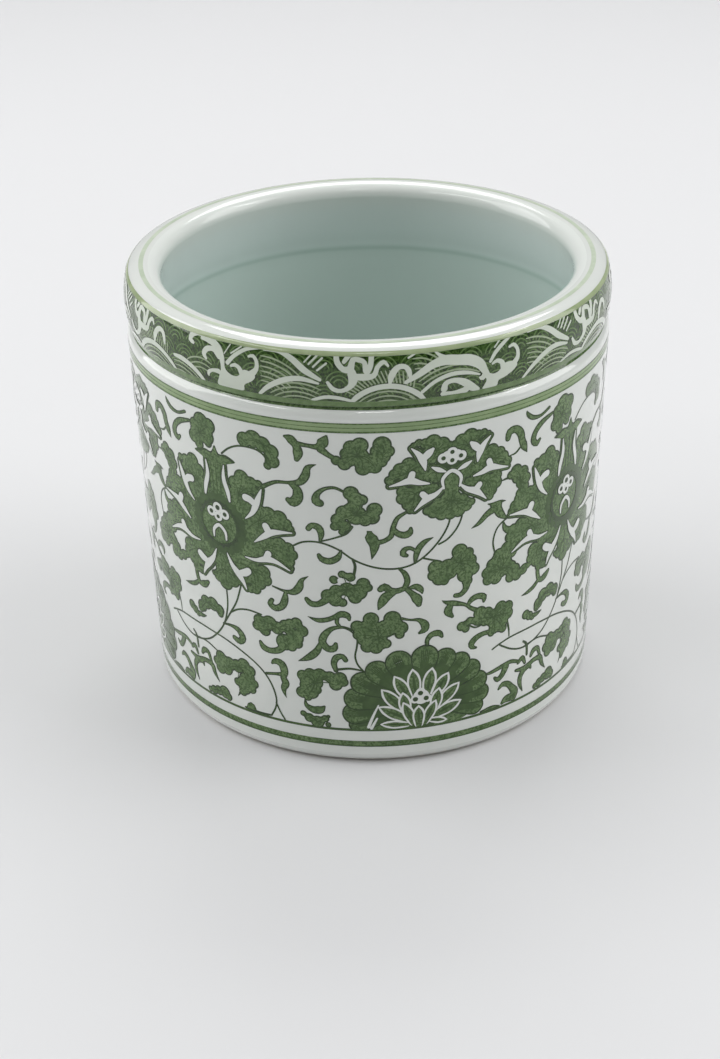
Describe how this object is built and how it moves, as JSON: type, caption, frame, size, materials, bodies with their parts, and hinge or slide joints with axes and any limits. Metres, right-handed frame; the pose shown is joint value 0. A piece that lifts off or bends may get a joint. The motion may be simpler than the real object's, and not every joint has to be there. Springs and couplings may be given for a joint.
{
  "type": "brush pot",
  "caption": "Straight-sided porcelain brush pot, open at the top with a thick rounded collar, printed with a green lotus scroll; holds writing brushes and pens upright on a desk",
  "frame": {"origin": "centre of the foot's resting plane", "axes": "+Z is the axis of the pot and points up out of its mouth; -Y is the side shown by the picture"},
  "size_m": [0.13, 0.13, 0.122],
  "materials": {
    "white_glaze": "glossy white porcelain glaze with a faint cool green cast",
    "bare_porcelain": "matt unglazed porcelain at the foot",
    "green_line": "soft green painted band under clear glossy glaze",
    "scroll_print": "dark green printed scroll on white, under clear glossy glaze",
    "wave_print": "dark green printed waves reserved in white, under clear glossy glaze"
  },
  "bodies": {
    "root": {"pot_wall": "white_glaze", "rim_collar": "white_glaze", "floor_disc": "white_glaze", "foot_ring": "bare_porcelain", "rim_line": "green_line", "collar_edge_line": "green_line", "collar_foot_line": "green_line", "wave_border_print": "wave_print", "shoulder_band": "green_line", "lotus_scroll_print_1": "scroll_print", "lotus_scroll_print_2": "scroll_print", "lotus_scroll_print_3": "scroll_print", "lotus_scroll_print_4": "scroll_print", "scroll_base_line": "green_line", "foot_band": "green_line"}
  },
  "joints": []
}
